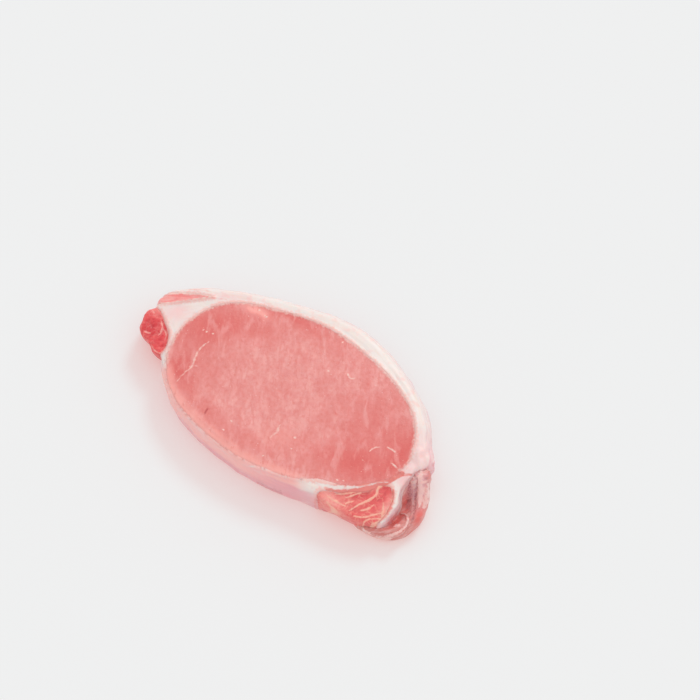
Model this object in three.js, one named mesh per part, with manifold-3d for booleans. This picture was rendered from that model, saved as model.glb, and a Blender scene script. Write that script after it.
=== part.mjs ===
// A raw pork loin steak, cut across the loin and lying on its lower cut face.
// Millimetres, +Z up. The origin is under the middle of the steak, on the face that it rests on.
// +X runs along the steak from the small dark muscle to the tail, and +Y points to the fat cap.
import * as THREE from "three";
import { mergeVertices } from "three/addons/utils/BufferGeometryUtils.js";
import Module from "manifold-3d";

const wasm = await Module();
wasm.setup();

// ---- Driving dimensions, mm ----
const THICKNESS = 16; // between the two cut faces
const SEAM = 0.3; // left between neighbouring muscles and fat
const SEAM_DROP = 0.35; // how far each piece dips where it meets the next

const EDGE_DROP = 1.5; // how far the cut face rolls down at the steak's rim
const EDGE_REACH = 4.5; // width of that roll
const LIP_START = 54; // from this x on the rim is the fat lip by the tail muscle,
const LIP_END = 60; // which is fully formed here
const LIP_LIFT = 0.8; // and keeps this share of its height

const EYE_CROWN = 0.6; // the eye muscle stands this much proud of the fat
const CROWN_ALONG = 58; // half length of the crown
const CROWN_ACROSS = 36; // half width of the crown

const SAG_START = 48; // both ends begin to sink this far from the middle
const SAG_LENGTH = 27; // and are down after this much more
const END_SAG = 1.8; // fall of the end with the small dark muscle
const TAIL_SAG = 2.2; // fall of the tail
const TAIL_SLANT = 0.5; // the tail falls aslant, this much along for each step across

const UNDERCUT = 4.8; // the near wall by the small dark muscle leans in this far at its foot,
const UNDERCUT_START = -66; // less and less from this x on,
const UNDERCUT_END = -30; // and stands upright from here
const UNDERCUT_FACING = 0.8; // a wall that faces the near side this squarely has all of it
const UNDERCUT_SIDE = 6; // it is left out where -y is less than this
const UNDERCUT_SIDE_FULL = 14; // and whole where it is more than this
const TAIL_UNDERCUT = 2.8; // the near wall of the tail leans in too, this far,
const TAIL_UNDERCUT_START = 34; // from this x on
const TAIL_UNDERCUT_FULL = 44; // and all of it from here

const END_MUSCLE_DIP = 0.1; // top of the dark muscle's dome below its surroundings
const END_MUSCLE_DOME = 0.035; // rounding of that dome
const TAIL_MUSCLE_DIP = 0.7; // the tail muscle lies this much lower than its surroundings
const TAIL_MUSCLE_WAVES = 0.6; // its waves are smaller, and twice as close

const FLAP_RIDGE = 9.5; // height of the folded flap's ridge
const FLAP_RIDGE_RISE = 2.5; // which climbs towards the fat cap
const FLAP_HOLLOW = 4.5; // height of the hollow behind the ridge
const FLAP_HOLLOW_FROM = -8; // the hollow is full depth up to this y,
const FLAP_HOLLOW_TO = 4; // and has run out here
const FLAP_SETBACK = 3.2; // the ridge runs this far inside the flap's free edge
const FLAP_SLOPE = 4; // width of the slope down from it
const FLAP_WRINKLE = 0.3; // height of the flap's wrinkles
const FLAP_WRINKLE_TURN = 0.53; // and their turn for each mm, in radians
const FREE_EDGE_ROLL = 0.3; // an outline point that rolls more than this lies on a free edge

// Gentle waves of the soft cut face: height in mm, then turn for each mm along X and Y, in radians.
const WAVES = [
  [0.22, 0.11, 0.07],
  [0.16, -0.06, 0.15],
];

// Outlines seen from above, counter-clockwise: x, y, and how far the edge rolls over where it is free.
const EYE_OUTLINE = [
  [55.0, -2.5, 0],
  [53.5, 8.0, 0],
  [46.5, 18.5, 0],
  [32.0, 26.2, 0],
  [10.0, 29.6, 0],
  [-10.0, 28.6, 0],
  [-28.0, 22.6, 0],
  [-41.2, 16.2, 0],
  [-49.6, 8.6, 0],
  [-53.4, -0.6, 0],
  [-54.6, -10.5, 0],
  [-52.2, -20.5, 0],
  [-45.8, -28.8, 0],
  [-36.0, -34.2, 0],
  [-22.5, -37.1, 0],
  [-4.0, -37.6, 0],
  [13.0, -34.4, 0],
  [26.0, -29.4, 0],
  [32.4, -24.6, 0],
  [40.0, -21.4, 0],
  [49.4, -12.0, 0],
];
const EYE_CENTRE = [[0, -4]];

const FAT_OUTLINE = [
  [63.2, 8.6, 2.6],
  [57.4, 17.4, 3.4],
  [47.6, 26.6, 3.6],
  [31.0, 34.8, 3.6],
  [11.5, 39.5, 3.6],
  [-4.0, 38.8, 3.6],
  [-22.0, 33.2, 3.6],
  [-40.6, 25.6, 3.6],
  [-57.0, 16.0, 3.4],
  [-68.4, 7.6, 3.0],
  [-72.6, 1.6, 2.6],
  [-73.0, -2.8, 2.2],
  [-72.0, -7.0, 1.4],
  [-70.4, -11.0, 0.6],
  [-68.4, -17.6, 0.6],
  [-62.6, -20.6, 0.6],
  [-57.0, -22.4, 0.6],
  [-53.6, -24.6, 0.7],
  [-48.6, -29.6, 0.9],
  [-37.4, -36.0, 1.1],
  [-23.0, -39.1, 1.1],
  [-4.0, -39.7, 1.1],
  [14.0, -37.6, 1.3],
  [30.5, -32.6, 1.4],
  [46.0, -29.4, 1.2],
  [57.0, -27.4, 1.0],
  [62.0, -24.4, 0.9],
  [63.3, -18.0, 0.9],
  [62.4, -11.5, 0.9],
  [59.4, -5.6, 0.9],
  [60.4, 1.2, 1.0],
];
const FAT_SPINE = [
  [-30, -4],
  [28, 4],
];

const END_MUSCLE_OUTLINE = [
  [-61.4, -11.5, 0],
  [-65.2, -9.4, 0.2],
  [-69.2, -8.1, 0.6],
  [-72.0, -9.2, 1.0],
  [-72.9, -12.2, 1.1],
  [-71.6, -16.6, 1.1],
  [-70.0, -20.8, 1.1],
  [-66.4, -23.1, 1.1],
  [-62.0, -23.6, 1.1],
  [-58.2, -25.5, 1.0],
  [-55.2, -24.6, 0.6],
  [-54.2, -21.8, 0.1],
  [-54.7, -18.6, 0],
  [-57.2, -14.4, 0],
];
const END_MUSCLE_CENTRE = [[-63.0, -16.6]];
const END_MUSCLE_DOME_TOP = [
  [-65.5, -13.0],
  [-60.0, -18.5],
];

const CAP_MUSCLE_OUTLINE = [
  [-53.6, 9.8, 0],
  [-59.8, 7.0, 0],
  [-66.4, 2.7, 0],
  [-70.8, -0.8, 0.5],
  [-73.3, -2.7, 1.7],
  [-72.9, -5.3, 1.7],
  [-70.4, -6.1, 0.5],
  [-66.3, -3.1, 0],
  [-61.6, 1.9, 0],
  [-57.4, 6.0, 0],
];
const CAP_MUSCLE_CENTRE = [[-63.2, 2.9]];

const TAIL_MUSCLE_OUTLINE = [
  [34.4, -29.0, 0.2],
  [37.2, -31.1, 1.0],
  [44.0, -31.0, 1.3],
  [51.6, -29.6, 1.4],
  [57.4, -27.4, 1.2],
  [60.4, -24.8, 0.5],
  [60.9, -18.4, 0],
  [60.0, -13.0, 0],
  [57.4, -9.4, 0],
  [54.8, -8.8, 0],
  [50.4, -15.2, 0],
  [42.4, -22.9, 0],
];
const TAIL_MUSCLE_CENTRE = [[51.0, -21.4]];

const FLAP_OUTLINE = [
  [63.4, 7.0, 1.0],
  [57.0, 4.0, 0],
  [57.0, -9.0, 0],
  [59.0, -20.0, 0],
  [52.0, -25.0, 0],
  [51.0, -28.8, 0.4],
  [56.0, -29.4, 1.4],
  [62.0, -28.2, 2.0],
  [67.2, -25.4, 2.4],
  [70.4, -21.0, 2.6],
  [71.8, -15.6, 2.8],
  [72.5, -9.6, 2.8],
  [70.2, -2.6, 2.6],
  [66.4, 3.4, 2.0],
];
const FLAP_SPINE = [
  [58.4, 2.4],
  [58.6, -8.0],
  [60.2, -17.0],
  [58.4, -23.6],
  [52.0, -27.4],
];

// How the wall of a free edge rolls: height as a share of the top's, and inset as a share of the roll.
const ROLLED_WALL = [
  [0, 0.8],
  [0.07, 0.36],
  [0.26, 0.06],
  [0.55, 0.04],
  [0.8, 0.3],
  [0.93, 0.64],
];
const STRAIGHT_WALL = [
  [0, 0],
  [0.5, 0],
];
const WALL_TOP = [1, 1]; // where every wall ends
const SPACE_HEIGHTS = [-0.5, 0, 0.25, 0.5, 0.75, 1, 1.5]; // of the space cut out for a piece, in thicknesses
const RIM_STEPS = [0.9, 2.4, 4.8]; // rings on the top face near its edge, in mm
const INWARD_STEPS = [0.36, 0.54, 0.72, 0.88]; // and further in, as shares of the way to the spine
const EDGE_SAMPLES = 120; // points on the curves that distances from an edge are measured to
const SAME_POINT = 1e-4; // vertices closer than this are one

const mix = THREE.MathUtils.lerp;
const ramp = THREE.MathUtils.smoothstep;

/** Even points on a smooth closed curve through an outline, each with its roll and its outward normal. */
function rimOf(outline, count) {
  const knots = outline.map(([x, y, roll]) => new THREE.Vector3(x, y, roll));
  const curve = new THREE.CatmullRomCurve3(knots, true, "centripetal");
  const spots = curve.getSpacedPoints(count).slice(0, count);
  if (THREE.ShapeUtils.isClockWise(spots)) spots.reverse();
  return spots.map((spot, i) => {
    const before = spots[(i + count - 1) % count];
    const after = spots[(i + 1) % count];
    const span = Math.hypot(after.x - before.x, after.y - before.y);
    const normal = [(after.y - before.y) / span, (before.x - after.x) / span];
    return { x: spot.x, y: spot.y, roll: Math.max(spot.z, 0), normal };
  });
}

/** The point of a polyline, or of a single centre, that lies nearest to (x, y). */
function nearestOn(line, x, y) {
  let best = { spot: line[0], gap: Math.hypot(line[0][0] - x, line[0][1] - y) };
  for (let i = 0; i + 1 < line.length; i++) {
    const [ax, ay] = line[i];
    const [bx, by] = line[i + 1];
    const along = ((x - ax) * (bx - ax) + (y - ay) * (by - ay)) / ((bx - ax) ** 2 + (by - ay) ** 2);
    const share = THREE.MathUtils.clamp(along, 0, 1);
    const spot = [mix(ax, bx, share), mix(ay, by, share)];
    const gap = Math.hypot(spot[0] - x, spot[1] - y);
    if (gap < best.gap) best = { gap, spot };
  }
  return best;
}

const flat = ({ x, y }) => [x, y];
const FAT_EDGE = rimOf(FAT_OUTLINE, EDGE_SAMPLES).map(flat);
FAT_EDGE.push(FAT_EDGE[0]);
const FLAP_EDGE = rimOf(FLAP_OUTLINE, EDGE_SAMPLES).filter(({ roll }) => roll > FREE_EDGE_ROLL).map(flat);

/** Height of the cut face's waves. */
function waves(x, y) {
  return WAVES.reduce((sum, [height, along, across]) => sum + height * Math.sin(along * x + across * y), 0);
}

/** How far the face has sunk towards the tail. */
const tailFall = (x, y) => TAIL_SAG * ramp(x - TAIL_SLANT * y, SAG_START, SAG_START + SAG_LENGTH);

/** Height of the upper cut face: crowned over the eye muscle, lower at both ends, rolled down at the rim. */
function faceHeight(x, y) {
  const [centreX, centreY] = EYE_CENTRE[0];
  const outward = ((x - centreX) / CROWN_ALONG) ** 2 + ((y - centreY) / CROWN_ACROSS) ** 2;
  const crown = EYE_CROWN * Math.max(0, 1 - outward);
  const endFall = END_SAG * ramp(-x, SAG_START, SAG_START + SAG_LENGTH);
  const drop = EDGE_DROP * (1 - LIP_LIFT * ramp(x, LIP_START, LIP_END));
  const rim = drop * (1 - ramp(nearestOn(FAT_EDGE, x, y).gap, 0, EDGE_REACH));
  return THICKNESS + crown - endFall - tailFall(x, y) - rim + waves(x, y);
}

/** Height of the small dark muscle, which is domed. */
function endMuscleHeight(x, y) {
  const { gap } = nearestOn(END_MUSCLE_DOME_TOP, x, y);
  return THICKNESS - END_SAG - END_MUSCLE_DIP - END_MUSCLE_DOME * gap ** 1.5;
}

/** Height of the tail muscle. */
function tailMuscleHeight(x, y) {
  return THICKNESS - TAIL_MUSCLE_DIP - tailFall(x, y) + TAIL_MUSCLE_WAVES * waves(2 * x, 2 * y);
}

/** Height of the flap: a ridge inside its free edge, then a slope down to the hollow behind it. */
function flapHeight(x, y) {
  const ridge = FLAP_RIDGE + FLAP_RIDGE_RISE * ramp(y, FLAP_HOLLOW_FROM, FLAP_HOLLOW_TO);
  const hollow = mix(FLAP_HOLLOW, ridge, ramp(y, FLAP_HOLLOW_FROM, FLAP_HOLLOW_TO));
  const inward = ramp(nearestOn(FLAP_EDGE, x, y).gap, FLAP_SETBACK, FLAP_SETBACK + FLAP_SLOPE);
  return mix(ridge, hollow, inward) + FLAP_WRINKLE * Math.sin(FLAP_WRINKLE_TURN * y);
}

/** A closed geometry from rings of points, which start on the underside and end round the spine. */
function geometryFromRings(rings) {
  const count = rings[0].length;
  const faces = [];
  for (let ring = 0; ring + 1 < rings.length; ring++) {
    for (let i = 0; i < count; i++) {
      const a = ring * count + i;
      const b = ring * count + ((i + 1) % count);
      faces.push(a, b, b + count, a, b + count, a + count);
    }
  }
  const caps = [rings[0], rings.at(-1)].map((ring) => ring.map(([x, y]) => new THREE.Vector2(x, y)));
  const last = (rings.length - 1) * count;
  for (const [a, b, c] of THREE.ShapeUtils.triangulateShape(caps[0], [])) faces.push(a, c, b);
  for (const [a, b, c] of THREE.ShapeUtils.triangulateShape(caps[1], [])) {
    faces.push(last + a, last + b, last + c);
  }
  const geometry = new THREE.BufferGeometry();
  geometry.setAttribute("position", new THREE.Float32BufferAttribute(rings.flat(2), 3));
  geometry.setIndex(faces);
  return geometry;
}

/** The point that far inside a rim, moved in under the near edge as its height asks. */
function wallPoint({ x, y, normal }, inset, z) {
  const facing = ramp(-normal[1], 0, UNDERCUT_FACING) * ramp(-y, UNDERCUT_SIDE, UNDERCUT_SIDE_FULL);
  const atEnd = UNDERCUT * (1 - ramp(x, UNDERCUT_START, UNDERCUT_END));
  const atTail = TAIL_UNDERCUT * ramp(x, TAIL_UNDERCUT_START, TAIL_UNDERCUT_FULL);
  const moved = facing * (atEnd + atTail) * THREE.MathUtils.clamp(1 - z / THICKNESS, 0, 1);
  return [x - normal[0] * inset, y - normal[1] * inset + moved, z];
}

/** A piece of the steak, through its whole thickness: flat underside, wall, and its own top surface. */
function slab({ outline, spine, samples, wall, height }) {
  const rim = rimOf(outline, samples);
  const wallRing = ([share, rolled]) =>
    rim.map((point) => {
      const inset = point.roll * rolled;
      const [x, y] = wallPoint(point, inset, THICKNESS);
      return wallPoint(point, inset, share * (height(x, y) - SEAM_DROP));
    });
  const edge = wallRing(WALL_TOP);
  const topRing = (shareOf) =>
    edge.map(([fromX, fromY]) => {
      const { spot, gap } = nearestOn(spine, fromX, fromY);
      const x = mix(fromX, spot[0], shareOf(gap));
      const y = mix(fromY, spot[1], shareOf(gap));
      return [x, y, height(x, y)];
    });
  const closest = INWARD_STEPS[0] / (RIM_STEPS.at(-1) + RIM_STEPS[0]);
  return geometryFromRings([
    ...wall.map(wallRing),
    edge,
    ...RIM_STEPS.map((step) => topRing((gap) => step * Math.min(1 / gap, closest))),
    ...INWARD_STEPS.map((step) => topRing(() => step)),
  ]);
}

/** The space that a piece takes up, wider than it by the seam and open far above and below it. */
function spaceRound({ outline, samples }) {
  const rim = rimOf(outline, samples);
  return geometryFromRings(
    SPACE_HEIGHTS.map((height) => rim.map((point) => wallPoint(point, -SEAM, height * THICKNESS))),
  );
}

/** A geometry as a solid that can be cut. */
function solidOf(geometry) {
  geometry.deleteAttribute("normal");
  geometry.deleteAttribute("uv");
  const merged = mergeVertices(geometry, SAME_POINT);
  const vertProperties = merged.attributes.position.array;
  const triVerts = new Uint32Array(merged.index.array);
  return new wasm.Manifold(new wasm.Mesh({ numProp: 3, vertProperties, triVerts }));
}

/** The surface of a cut solid as a geometry, without any loose scrap. */
function largestBodyOf(solid) {
  const [largest] = solid.decompose().sort((a, b) => b.volume() - a.volume());
  const { vertProperties, triVerts } = largest.getMesh();
  const geometry = new THREE.BufferGeometry();
  geometry.setAttribute("position", new THREE.BufferAttribute(vertProperties, 3));
  geometry.setIndex(new THREE.BufferAttribute(triVerts, 1));
  return geometry;
}

/** A slab with the places of its neighbours cut out of it. */
function slabAround(piece, neighbours) {
  let solid = solidOf(slab(piece));
  for (const neighbour of neighbours) solid = solid.subtract(solidOf(spaceRound(neighbour)));
  return largestBodyOf(solid);
}

// The pieces. A piece that lists others in cutBy is cut back to leave the seam round them.
const PIECES = {
  loin_eye: {
    outline: EYE_OUTLINE,
    spine: EYE_CENTRE,
    samples: 92,
    wall: STRAIGHT_WALL,
    height: faceHeight,
    color: 0xe4938e,
    roughness: 0.4,
  },
  fat_cap: {
    outline: FAT_OUTLINE,
    spine: FAT_SPINE,
    samples: 132,
    wall: ROLLED_WALL,
    height: faceHeight,
    cutBy: ["loin_eye", "end_muscle", "cap_muscle", "tail_muscle"],
    color: 0xf6e3dc,
    roughness: 0.45,
  },
  end_muscle: {
    outline: END_MUSCLE_OUTLINE,
    spine: END_MUSCLE_CENTRE,
    samples: 36,
    wall: ROLLED_WALL,
    height: endMuscleHeight,
    color: 0xd5575c,
    roughness: 0.35,
  },
  cap_muscle: {
    outline: CAP_MUSCLE_OUTLINE,
    spine: CAP_MUSCLE_CENTRE,
    samples: 34,
    wall: ROLLED_WALL,
    height: faceHeight,
    color: 0xe8989a,
    roughness: 0.4,
  },
  tail_muscle: {
    outline: TAIL_MUSCLE_OUTLINE,
    spine: TAIL_MUSCLE_CENTRE,
    samples: 46,
    wall: ROLLED_WALL,
    height: tailMuscleHeight,
    color: 0xe57d79,
    roughness: 0.35,
  },
  tail_flap: {
    outline: FLAP_OUTLINE,
    spine: FLAP_SPINE,
    samples: 72,
    wall: ROLLED_WALL,
    height: flapHeight,
    cutBy: ["fat_cap", "tail_muscle"],
    color: 0xd98f8d,
    roughness: 0.4,
  },
};

const steak = new THREE.Group();
for (const [name, piece] of Object.entries(PIECES)) {
  const neighbours = (piece.cutBy ?? []).map((other) => PIECES[other]);
  const geometry = neighbours.length ? slabAround(piece, neighbours) : slab(piece);
  geometry.computeVertexNormals();
  const { color, roughness } = piece;
  const mesh = new THREE.Mesh(geometry, new THREE.MeshStandardMaterial({ color, roughness, metalness: 0 }));
  mesh.name = name;
  steak.add(mesh);
}

// The middle of the footprint comes to the origin.
const middle = new THREE.Box3().setFromObject(steak).getCenter(new THREE.Vector3());
steak.position.set(-middle.x, -middle.y, 0);

export default steak;
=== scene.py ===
"""A raw boneless pork loin steak, finished over its solids.

Each solid of the steak is copied, remeshed finely, sculpted and given the finish of its own kind of meat
or fat. Places on the steak are in millimetres, seen from above in the part's own frame: +X towards the
tail, +Y towards the fat cap. Everything that Blender gets is in metres.
"""

from __future__ import annotations

import itertools
import logging
import math
from dataclasses import dataclass
from enum import Enum

import bpy
import numpy as np
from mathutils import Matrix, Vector
from mathutils.bvhtree import BVHTree
from mathutils.geometry import convex_hull_2d


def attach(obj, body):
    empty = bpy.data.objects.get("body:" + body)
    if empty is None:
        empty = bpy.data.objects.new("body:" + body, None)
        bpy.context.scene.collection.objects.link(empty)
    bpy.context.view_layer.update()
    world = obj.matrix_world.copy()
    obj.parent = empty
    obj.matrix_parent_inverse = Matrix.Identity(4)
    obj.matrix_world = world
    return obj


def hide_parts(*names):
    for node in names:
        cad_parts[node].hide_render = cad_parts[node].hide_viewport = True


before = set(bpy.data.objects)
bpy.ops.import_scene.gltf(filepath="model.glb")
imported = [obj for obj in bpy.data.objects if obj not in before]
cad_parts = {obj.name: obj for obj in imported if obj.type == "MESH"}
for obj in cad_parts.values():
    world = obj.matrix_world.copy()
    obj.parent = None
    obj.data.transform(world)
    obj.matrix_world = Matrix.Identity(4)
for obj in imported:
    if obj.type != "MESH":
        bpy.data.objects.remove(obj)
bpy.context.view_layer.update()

MM = 0.001
BODY = "root"
LOG = logging.getLogger("steak")

Colour = tuple[float, float, float]
Place = tuple[float, float]
Socket = bpy.types.NodeSocket


def srgb(red: int, green: int, blue: int) -> Colour:
    """Turns a colour as a screen shows it, 0 to 255, into the linear one that a shader takes."""
    shares = (channel / 255 for channel in (red, green, blue))
    return tuple(s / 12.92 if s <= 0.04045 else ((s + 0.055) / 1.055) ** 2.4 for s in shares)


def ease(values: np.ndarray, low: float, high: float) -> np.ndarray:
    """Rises smoothly from 0 at low to 1 at high, which may be the lower of the two."""
    share = np.clip((values - low) / (high - low), 0, 1)
    return share * share * (3 - 2 * share)


def turned(points: np.ndarray, angle: float) -> np.ndarray:
    """Turns points about +Z, so that what lay in the direction of the angle lies along +X.

    Args:
        points: Points with three coordinates, one a row.
        angle: The direction, in degrees from +X.

    Returns:
        The turned points.
    """
    cos, sin = math.cos(math.radians(angle)), math.sin(math.radians(angle))
    x, y, z = points.T
    return np.column_stack([cos * x + sin * y, cos * y - sin * x, z])


# ---------------------------------------------------------------- unevenness


class Grain:
    """Seeded noise over points, for the unevenness that no two cuts of meat share."""

    HASH = (73856093, 19349663, 83492791)
    SEED_STEP, TURN_STEP, OFFSET = 1013, 7919, 17
    SHIFTS = (33, 29, 32)
    MIXER = 0xFF51AFD7ED558CCD
    GROOVE = 4

    def __init__(self, seed: int) -> None:
        """Keeps the seed, which says which of the endless noises this is."""
        self.seed = seed

    def _draw(self, lattice: np.ndarray, turn: int) -> np.ndarray:
        """Draws one number from 0 to 1 for each lattice point.

        Args:
            lattice: Whole-numbered points, one a row.
            turn: Which draw this is, for points that need several.

        Returns:
            One number for each point.
        """
        start = self.seed * self.SEED_STEP + turn * self.TURN_STEP + self.OFFSET
        mixed = np.full(len(lattice), start, dtype=np.uint64)
        for column, prime in zip(lattice.T, self.HASH):
            mixed ^= (column.astype(np.int64) * prime).astype(np.uint64)
        for shift in self.SHIFTS:
            mixed ^= mixed >> np.uint64(shift)
            mixed *= np.uint64(self.MIXER)
        return (mixed >> np.uint64(40)).astype(float) / 2**24

    def waves(self, points: np.ndarray, cell: float | tuple[float, ...]) -> np.ndarray:
        """Smooth waves with one bump or hollow to each cell.

        Args:
            points: Points with three coordinates, one a row.
            cell: Size of a cell, or its size along each axis.

        Returns:
            Heights, about -1 to 1.
        """
        scaled = points / np.array(cell, dtype=float)
        base = np.floor(scaled)
        part = scaled - base
        fade = part**3 * (part * (part * 6 - 15) + 10)
        total = np.zeros(len(points))
        for corner in itertools.product((0, 1), repeat=3):
            lattice = base + corner
            tilt = np.stack([2 * self._draw(lattice, axis) - 1 for axis in range(3)], axis=1)
            value = (tilt * (part - corner)).sum(axis=1)
            total += value * np.where(corner, fade, 1 - fade).prod(axis=1)
        return total * 2

    def rough(self, points: np.ndarray, cell: float, octaves: int = 3) -> np.ndarray:
        """Waves on waves, each half the size of the last, about -1 to 1 in all."""
        return sum(self.waves(points, cell / 2**n) / 2**n for n in range(octaves)) / 1.5

    def bundles(self, points: np.ndarray, cell: float) -> np.ndarray:
        """Pillows that meet in grooves, as bundles of muscle fibre do where they are cut across.

        Args:
            points: Points, of which the first two coordinates count.
            cell: Size of a bundle.

        Returns:
            0 in a groove, rising to about 1 in the middle of a bundle.
        """
        scaled = points[:, :2] / cell
        base = np.floor(scaled)
        gaps = []
        for step in itertools.product((-1, 0, 1), repeat=2):
            lattice = base + step
            middle = np.column_stack([self._draw(lattice, 3), self._draw(lattice, 4)])
            gaps.append(np.linalg.norm(lattice + middle - scaled, axis=1))
        nearest, second = np.sort(np.array(gaps), axis=0)[:2]
        return 1 - np.exp(-self.GROOVE * (second - nearest))


# ---------------------------------------------------------------- lines and zones on the meat


def distances(flat: np.ndarray, line: np.ndarray) -> tuple[np.ndarray, np.ndarray]:
    """How far each point lies from a line of points, and where along it.

    Args:
        flat: Points with two coordinates, one a row.
        line: The line's points, one a row.

    Returns:
        The distances, and the shares of the way along the line, 0 to 1.
    """
    best = np.full(len(flat), np.inf)
    along = np.zeros(len(flat))
    steps = np.linalg.norm(np.diff(line, axis=0), axis=1)
    done = np.concatenate([[0], np.cumsum(steps)]) / steps.sum()
    for index, (start, end) in enumerate(zip(line[:-1], line[1:])):
        leg = end - start
        share = np.clip((flat - start) @ leg / (leg @ leg), 0, 1)
        gap = np.linalg.norm(start + share[:, None] * leg - flat, axis=1)
        closer = gap < best
        best = np.where(closer, gap, best)
        along = np.where(closer, done[index] + share * (done[index + 1] - done[index]), along)
    return best, along


def rounded(line: tuple[Place, ...], rounds: int = 2) -> np.ndarray:
    """Cuts a line's corners, so that it bends smoothly.

    Args:
        line: The line's points.
        rounds: How often its corners are cut.

    Returns:
        More points, one a row, with the same ends.
    """
    points = np.array(line, dtype=float)
    for _ in range(rounds):
        near = 0.75 * points[:-1] + 0.25 * points[1:]
        far = 0.25 * points[:-1] + 0.75 * points[1:]
        inner = np.stack([near, far], axis=1).reshape(-1, 2)
        points = np.vstack([points[:1], inner, points[-1:]])
    return points


class Mark(Enum):
    """What a line on the meat is made of. Its value names the attribute that the finish reads."""

    FAT = "fat_line"
    DARK = "dark_line"
    MEAT = "meat_line"


@dataclass(frozen=True)
class Strand:
    """A line in the meat: a streak of fat, a fold of membrane or a crease.

    Attributes:
        points: Where it runs.
        width: Half its width in the middle; it narrows to its ends.
        lift: How far it stands up, or sinks where this is negative.
        strength: How strongly its colour shows.
        mark: What it is made of.
    """

    points: tuple[Place, ...]
    width: float
    lift: float = 0.0
    strength: float = 1.0
    mark: Mark = Mark.FAT

    MARGIN = 3.0
    END_WIDTH = 0.35

    def cover(self, flat: np.ndarray, wander: np.ndarray) -> np.ndarray:
        """How much of the strand shows at each point.

        Args:
            flat: Points seen from above, one a row.
            wander: How much nearer or farther each point counts, in widths, so that the edge isn't even.

        Returns:
            1 on the strand's middle, 0 from its edge outwards.
        """
        line = rounded(self.points)
        reach = self.width + self.MARGIN
        near = ((flat > line.min(axis=0) - reach) & (flat < line.max(axis=0) + reach)).all(axis=1)
        gap, along = distances(flat[near], line)
        taper = self.END_WIDTH + (1 - self.END_WIDTH) * np.sin(math.pi * along)
        shown = np.zeros(len(flat))
        shown[near] = ease(gap / (self.width * taper) + wander[near], 1, 0.1)
        return shown


@dataclass(frozen=True)
class Patch:
    """A soft-edged zone, such as a darker part of a muscle.

    Attributes:
        x: Its middle, along the steak.
        y: Its middle, across the steak.
        long: Its reach along its own length.
        wide: Its reach across that.
        turn: How far its length is turned from +X, in degrees.
        amount: How strong it is.
    """

    x: float
    y: float
    long: float
    wide: float
    turn: float = 0.0
    amount: float = 1.0

    def cover(self, flat: np.ndarray) -> np.ndarray:
        """How strongly the patch shows at each point.

        Args:
            flat: Points seen from above, one a row.

        Returns:
            Up to the patch's amount.
        """
        cos, sin = math.cos(math.radians(self.turn)), math.sin(math.radians(self.turn))
        x, y = flat[:, 0] - self.x, flat[:, 1] - self.y
        length, width = (cos * x + sin * y) / self.long, (cos * y - sin * x) / self.wide
        return self.amount * np.exp(-(length**2 + width**2))


class Outline:
    """The outline of one or more solids, seen from above."""

    def __init__(self, *nodes: str) -> None:
        """Draws the outline round all that the solids cover.

        Args:
            *nodes: The solids' names.
        """
        corners = [vertex.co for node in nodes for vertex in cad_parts[node].data.vertices]
        spots = np.unique(np.round(np.array(corners)[:, :2] / MM, 2), axis=0)
        ring = spots[convex_hull_2d([Vector(spot) for spot in spots])]
        self.ring = np.vstack([ring, ring[:1]])

    def inside(self, flat: np.ndarray) -> np.ndarray:
        """How far each point lies inside the outline.

        Args:
            flat: Points seen from above, one a row.

        Returns:
            Distances, negative outside.
        """
        x, y = flat.T
        within = np.zeros(len(flat), dtype=bool)
        for (x0, y0), (x1, y1) in zip(self.ring[:-1], self.ring[1:]):
            if y0 != y1:
                crossed = (y0 > y) != (y1 > y)
                within ^= crossed & (x < x0 + (x1 - x0) * (y - y0) / (y1 - y0))
        return np.where(within, 1, -1) * distances(flat, self.ring)[0]


class Layout:
    """Where the muscles lie in the steak."""

    THIN = 2.6
    THICK = 5.0

    def __init__(self) -> None:
        """Reads the outlines from the solids."""
        self.whole = Outline(*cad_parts)
        self.eye = Outline("loin_eye")
        self.tail = Outline("tail_muscle")
        self.end = Outline("end_muscle")
        self.cap = Outline("cap_muscle")
        self.wedge = Patch(31.0, -26.0, 6.0, 4.5, -50, 1.6)
        self.film = Patch(15.0, -34.5, 14.0, 4.0, 16, 1.6)
        self.septum = Strand(
            ((37.0, -25.8), (42.1, -22.1), (45.4, -19.0), (48.8, -14.7), (51.8, -10.4), (56.6, -1.8)), 3.4
        )

    def to_lean(self, flat: np.ndarray) -> np.ndarray:
        """How far each point lies outside the nearest muscle, negative inside one."""
        muscles = (self.eye, self.tail, self.end, self.cap)
        return -np.max([muscle.inside(flat) for muscle in muscles], axis=0)

    def beside_wedge(self, flat: np.ndarray) -> np.ndarray:
        """How little of the white wedge lies at each point, 1 where there is none."""
        return 1 - np.clip(self.wedge.cover(flat), 0, 1)

    def membrane(self, flat: np.ndarray) -> np.ndarray:
        """Where only a thin membrane covers the muscle's side, and no fat.

        Args:
            flat: Points seen from above, one a row.

        Returns:
            1 where the cover is thin, 0 where it is thick fat.
        """
        band = self.whole.inside(flat) - np.maximum(self.eye.inside(flat), self.tail.inside(flat))
        thin = np.maximum(ease(band, self.THICK, self.THIN), np.clip(self.film.cover(flat), 0, 1))
        return thin * self.beside_wedge(flat)

    def veiled(self, flat: np.ndarray) -> np.ndarray:
        """Where meat shows through the thin septum between the eye and the tail, 1 there and 0 elsewhere."""
        thin = np.clip(3 * self.septum.cover(flat, np.zeros(len(flat))), 0, 1)
        return thin * self.beside_wedge(flat)


# ---------------------------------------------------------------- finishes


@dataclass(frozen=True)
class Wetness:
    """How moist flesh takes light.

    Attributes:
        glow: Share of the light that enters.
        reach: How far red, green and blue travel inside, against depth.
        depth: Depth that light travels, in millimetres.
        ior: Refractive index.
        specular: Strength of the surface's own shine.
        film: Strength of the juice film's shine.
        film_roughness: Roughness of that film.
    """

    glow: float = 0.35
    reach: Colour = (1.0, 0.42, 0.34)
    depth: float = 2.2
    ior: float = 1.4
    specular: float = 0.45
    film: float = 0.2
    film_roughness: float = 0.25


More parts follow.
